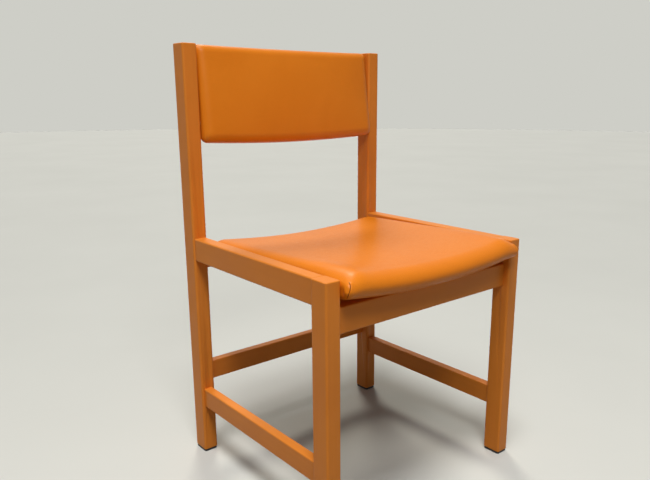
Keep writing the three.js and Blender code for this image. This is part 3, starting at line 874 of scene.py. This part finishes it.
def fold_grid(tree, line):
    """Rows of places on the skin, each from the fold forwards over the nose."""
    grid = []
    for k, spot in enumerate(line):
        along = (line[min(k + 1, FOLD_POINTS - 1)] - line[max(k - 1, 0)]).normalized()
        place, normal = tree.find_nearest(spot)[:2]
        across = normal.cross(along).normalized()
        if across.y > 0:
            across.negate()
        row = [place]
        for _ in range(FOLD_STEPS):
            place, normal = tree.find_nearest(row[-1] + across * FOLD_PITCH * MM)[:2]
            across = (across - across.dot(normal) * normal).normalized()
            row.append(place)
        grid.append([tuple(place) for place in row])
    grid = np.array(grid)
    for _ in range(FOLD_CALMING):
        calm = grid.copy()
        calm[1:-1, 1:-1] = (grid[:-2, 1:-1] + grid[2:, 1:-1] + grid[1:-1, :-2] + grid[1:-1, 2:]) / 4
        grid[1:-1] = 0.5 * grid[1:-1] + 0.5 * calm[1:-1]
    return grid


def facing_of(grid):
    """The outward direction at each place of a grid on the nose, which faces forwards."""
    facing = np.cross(np.gradient(grid, axis=0), np.gradient(grid, axis=1))
    facing /= np.linalg.norm(facing, axis=2, keepdims=True)
    return -facing if facing[:, :, 1].mean() > 0 else facing


def fold_lip(grid, facing):
    """A closed wedge that is highest beside the crease and sinks into the skin all round."""
    last = FOLD_POINTS - 1
    heights = np.interp(np.arange(FOLD_STEPS + 1) * FOLD_PITCH, LIP_PLACES, LIP_HEIGHTS)
    fades = [step(0, LIP_FULL_FROM, k) * (1 - step(LIP_FULL_TO, last, k)) for k in range(FOLD_POINTS)]
    fades = np.array(fades)[:, None]
    rise = fades * heights[None, :] - LIP_SINK * (1 - fades)
    top = grid + facing * rise[:, :, None] * MM
    under = grid - facing * LIP_ROOT * MM
    work = bmesh.new()
    layers = [[[work.verts.new(place) for place in row] for row in layer] for layer in (top, under)]
    for k in range(last):
        for m in range(FOLD_STEPS):
            for layer in layers:
                work.faces.new((layer[k][m], layer[k + 1][m], layer[k + 1][m + 1], layer[k][m + 1]))
    join_rims(work, *layers)
    return work


def fold_shade_line(grid, facing):
    """A dark tube in the angle behind the lip: painted shade."""
    back = grid[:, 0] - grid[:, 1]
    back /= np.linalg.norm(back, axis=1, keepdims=True)
    line = grid[:, 0] + back * SHADE_LINE_SETBACK * MM + facing[:, 0] * SHADE_LINE_LIFT * MM
    work = bmesh.new()
    tube(work, [Vector(place) for place in line[1:-1]], SHADE_LINE_RADIUS * MM, tapered=True)
    return work


def make_fold(name, side, skin):
    """Where the nose's leather laps over the leather of its end."""
    tree = surface_tree(skin)
    grid = fold_grid(tree, fold_line(tree, side))
    facing = facing_of(grid)
    finish_piece(f"nose_fold_{name}", fold_lip(grid, facing), LEATHER)
    # The dark tube behind the lip is painted shade
    finish_piece(f"nose_crease_shade_{name}", fold_shade_line(grid, facing), CREASE_SHADE)


# Cloth and leather sheets
def rounded(u, v, half, low, high, corner):
    """A place on a round-cornered sheet from two shares that run from -1 to 1."""
    long = (high - low) / 2
    x, y = u * half, v * long
    a = (abs(x) - half + corner) / corner
    b = (abs(y) - long + corner) / corner
    if a > 0 and b > 0:
        a, b = a * math.sqrt(1 - b * b / 2), b * math.sqrt(1 - a * a / 2)
        x = math.copysign(half - corner + a * corner, x)
        y = math.copysign(long - corner + b * corner, y)
    return x, y + (low + high) / 2


def edge_distance(x, y, half, low, high, corner):
    """How far a place lies inside the round-cornered outline."""
    from_side = half - abs(x)
    from_end = (high - low) / 2 - abs(y - (low + high) / 2)
    if from_side < corner and from_end < corner:
        return corner - math.hypot(corner - from_side, corner - from_end)
    return min(from_side, from_end)


def perimeter(half, low, high, corner, inset, pitch):
    """Evenly spaced places round a round-cornered outline, each with the direction of the edge there."""
    half, low, high, corner = half - inset, low + inset, high - inset, corner - inset
    outline = []
    for centre_x, centre_y, start in (
        (half - corner, high - corner, 0),
        (corner - half, high - corner, 90),
        (corner - half, low + corner, 180),
        (half - corner, low + corner, 270),
    ):
        for k in range(CORNER_STEPS + 1):
            angle = math.radians(start + 90 / CORNER_STEPS * k)
            outline.append(Vector((
                centre_x + corner * math.cos(angle),
                centre_y + corner * math.sin(angle),
                0,
            )))
    outline.append(outline[0])
    total = sum((b - a).length for a, b in zip(outline, outline[1:]))
    count = round(total / pitch)
    wanted = [total * (k + 0.5) / count for k in range(count)]
    passed = 0.0
    for a, b in zip(outline, outline[1:]):
        length = (b - a).length
        while wanted and wanted[0] <= passed + length:
            yield a.lerp(b, (wanted.pop(0) - passed) / max(length, 1e-9)), (b - a).normalized()
        passed += length


def closer_at_edges(i, count):
    """A share from -1 to 1 for row i of count, with rows closer together towards the edges."""
    return 0.5 * math.sin((2 * i / count - 1) * math.pi / 2) + i / count - 0.5


def sheet(name, half, low, high, corner, cells, depth, material, slot, place):
    """A stretched sheet. depth gives how far its two sides lie below the pad's base."""
    count_x, count_y = cells
    work = bmesh.new()
    top, bottom = [], []
    for layer, under in ((top, 0), (bottom, 1)):
        for i in range(count_x + 1):
            row = []
            for j in range(count_y + 1):
                u, v = closer_at_edges(i, count_x), closer_at_edges(j, count_y)
                x, y = rounded(u, v, half, low, high, corner)
                depths = depth(x, y, edge_distance(x, y, half, low, high, corner))
                row.append(work.verts.new(Vector((x, y, -depths[under])) * MM))
            layer.append(row)
    for i in range(count_x):
        for j in range(count_y):
            work.faces.new((top[i][j], top[i + 1][j], top[i + 1][j + 1], top[i][j + 1]))
            work.faces.new((bottom[i][j], bottom[i][j + 1], bottom[i + 1][j + 1], bottom[i + 1][j]))
    join_rims(work, top, bottom)
    obj = finish_piece(name, work, material, place)
    return obj


def trough(x):
    """How far the seat's base has risen at this distance from its middle."""
    return SEAT["dish"] * (x / SEAT["half"]) ** 2


def make_lining():
    """The dust cloth under the seat, hemmed and stapled to the board."""
    places = list(perimeter(**LINING_SHEET, inset=STAPLE_INSET, pitch=STAPLE_PITCH))
    tree = kdtree.KDTree(len(places))
    for k, (point, _) in enumerate(places):
        tree.insert(point, k)
    tree.balance()

    def depth(x, y, inside):
        hem = 1 - step(HEM_WIDTH - HEM_STEP, HEM_WIDTH + HEM_STEP, inside)
        from_staple = tree.find(Vector((x, y, 0)))[2]
        loose = 1 - hill(from_staple, STAPLE_PUCKER_REACH)
        pucker = STAPLE_PUCKER * loose * step(*STAPLE_PUCKER_GROWTH, inside)
        slack = pucker + LINING_SAG * step(*LINING_SAG_GROWTH, inside)
        upper = LINING_GAP - trough(x) + slack * step(*LINING_FREE_FROM_EDGE, inside)
        return upper, LINING_GAP - trough(x) + slack + LINING_THICKNESS + HEM_THICKNESS * hem

    lining = sheet("seat_underlining", **LINING_SHEET, cells=LINING_CELLS, depth=depth,
                   material=LINING, slot="lining_cloth", place=SEAT_PLACE)
    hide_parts("seat_lining")
    work = bmesh.new()
    for point, along in places:
        point = Vector((point.x, point.y, trough(point.x) - STAPLE_DEPTH))
        turned = Matrix.Rotation(random.uniform(-STAPLE_TURN, STAPLE_TURN), 3, "Z") @ along
        first, second = (point + turned * (side * STAPLE_HALF) for side in (-1, 1))
        leg = Vector((0, 0, STAPLE_LEG))
        knee = leg * STAPLE_KNEE_SHARE
        bend = turned * STAPLE_BEND
        path = [first + leg, first + knee, first + bend, second - bend, second + knee, second + leg]
        tube(work, [place * MM for place in path], STAPLE_RADIUS * MM, sides=6)
    finish_piece("lining_staples", work, STEEL, SEAT_PLACE)


def make_outer_panel():
    """The leather panel behind the back, with a stitched edge."""

    def depth(x, y, inside):
        swell = PANEL_SWELL * step(0, PANEL_SWELL_REACH, inside)
        edge = PANEL_EDGE * max(0.0, 1 - min(1.0, inside / PANEL_EDGE_REACH))
        seam = SEAM_DEPTH * hill(inside - SEAM_INSET, SEAM_REACH)
        return PANEL_GAP + edge, PANEL_GAP + PANEL_THICKNESS - edge + swell - seam

    panel = sheet("back_outer_leather", **PANEL_SHEET, cells=PANEL_CELLS, depth=depth,
                  material=LEATHER, slot="leather", place=BACK_PLACE)
    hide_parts("back_outer_panel")
    work = bmesh.new()
    for point, along in perimeter(**PANEL_SHEET, inset=SEAM_INSET, pitch=STITCH_PITCH):
        path = [Vector((point.x, point.y, z)) + along * forward for forward, z in STITCH_PATH]
        tube(work, [place * MM for place in path], STITCH_RADIUS * MM, sides=6)
    finish_piece("panel_stitches", work, THREAD, BACK_PLACE)


# Nodes that are carried over
def node_material(name):
    if "dowel" in name:
        return BARE_WOOD
    if "nail" in name or "screw" in name:
        return STEEL
    if name.endswith("board"):
        return PLYWOOD
    if name.endswith("foam"):
        return FOAM
    if name.startswith("glide"):
        return PLASTIC
    if name == "seat_lining":
        return LINING
    if "cover" in name or "outer_panel" in name:
        return LEATHER
    return PAINT[axis_of(name)]


def dress_nodes():
    """A material for every node, also for those that a piece stands for."""
    for name, obj in NODES.items():
        obj.data.materials.clear()
        obj.data.materials.append(node_material(name))


# Stage, lights and camera
def light(name, kind, place, target, power, colour, **values):
    data = bpy.data.lights.new(name, kind)
    data.energy = power
    data.color = colour
    for key, value in values.items():
        setattr(data, key, value)
    obj = bpy.data.objects.new(name, data)
    obj.location = place
    obj.rotation_euler = (Vector(target) - obj.location).to_track_quat("-Z", "Y").to_euler()
    obj.visible_camera = False
    bpy.context.scene.collection.objects.link(obj)


def make_lights():
    """A small soft lamp before the sitter's right side, broad light from above and weak light from behind."""
    back_middle = Vector((0, 0, 0.72))
    floor_middle = (0, 0, 0)
    light("key", "AREA", place=back_middle + Vector((-0.42, -0.63, 0.65)) * 1.5, target=back_middle,
          power=10.6, colour=(1.0, 0.97, 0.92), size=0.42)
    light("overhead", "SUN", place=Vector((-0.22, -0.16, 0.96)) * 3, target=floor_middle,
          power=2.2, colour=(1.0, 0.98, 0.95), angle=math.radians(18))
    light("back", "SUN", place=Vector((0.34, 0.55, 0.76)) * 3, target=floor_middle,
          power=1.0, colour=(1.0, 0.95, 0.82), angle=math.radians(14))


def background_rays(nodes, links):
    """1 for the rays that show the background: straight ones, reflections and rays through glass."""
    path = nodes.new("ShaderNodeLightPath")
    total = path.outputs["Is Camera Ray"]
    for name in ("Is Glossy Ray", "Is Transmission Ray"):
        most = nodes.new("ShaderNodeMath")
        most.operation = "MAXIMUM"
        links.new(total, most.inputs[0])
        links.new(path.outputs[name], most.inputs[1])
        total = most.outputs[0]
    return total


def make_stage():
    """A pale round floor that lights the chair less than it shows."""
    work = bmesh.new()
    bmesh.ops.create_circle(work, cap_ends=True, cap_tris=True, segments=96, radius=14.0)
    mesh = mesh_from(work, "floor")
    s = Shader("floor")
    cloud = s.noise(s.plain, scale=1.3, detail=4.0, rough=0.55)
    pale = s.ramp(cloud, [(0.3, srgb(199, 201, 198)), (0.7, srgb(203, 205, 202))])
    s.colour(s.mix(background_rays(s.nodes, s.links), srgb(138, 140, 136), pale))
    s.constant(Roughness=0.6, Specular_IOR_Level=0.25)
    floor = bpy.data.objects.new("floor", mesh)
    mesh.materials.append(s.material)
    bpy.context.scene.collection.objects.link(floor)


def make_world():
    """Faint light from all round, behind a pale background."""
    world = bpy.data.worlds.new("studio")
    bpy.context.scene.world = world
    world.use_nodes = True
    nodes, links = world.node_tree.nodes, world.node_tree.links
    nodes.clear()
    out = nodes.new("ShaderNodeOutputWorld")
    mix = nodes.new("ShaderNodeMixShader")
    links.new(background_rays(nodes, links), mix.inputs[0])
    for socket, colour, strength in ((1, (1.0, 0.98, 0.95, 1.0), 0.1), (2, srgb(206, 206, 199), 1.0)):
        background = nodes.new("ShaderNodeBackground")
        background.inputs["Color"].default_value = colour
        background.inputs["Strength"].default_value = strength
        links.new(background.outputs[0], mix.inputs[socket])
    links.new(mix.outputs[0], out.inputs[0])


def make_camera():
    data = bpy.data.cameras.new("camera")
    data.sensor_width = SENSOR_WIDTH
    data.lens = SENSOR_WIDTH * FOCAL_PIXELS / PHOTO_WIDTH
    data.shift_x = (PHOTO_WIDTH / 2 - AXIS_PIXEL_X) / PHOTO_WIDTH
    data.shift_y = CAMERA_SHIFT_Y
    data.clip_start, data.clip_end = 0.01, 100.0
    camera = bpy.data.objects.new("camera", data)
    yaw, pitch, roll = (math.radians(angle) for angle in (CAMERA_YAW, CAMERA_PITCH, CAMERA_ROLL))
    forward = Vector((math.sin(-yaw) * math.cos(pitch), math.cos(yaw) * math.cos(pitch), math.sin(pitch)))
    right = forward.cross(Vector((0, 0, 1))).normalized()
    up = right.cross(forward)
    c, s = math.cos(roll), math.sin(roll)
    x, y = c * right + s * up, -s * right + c * up
    place = Matrix.Translation((CAMERA_X, LEG_FRONT * MM - CAMERA_AHEAD, CAMERA_Z))
    camera.matrix_world = place @ Matrix((x, y, -forward)).transposed().to_4x4()
    bpy.context.scene.collection.objects.link(camera)
    bpy.context.scene.camera = camera


make_stage()
make_world()
make_lights()
make_camera()
dress_nodes()
paint_frame()
make_seat()
make_back()
make_lining()
make_outer_panel()
bpy.context.scene.view_settings.view_transform = "Standard"
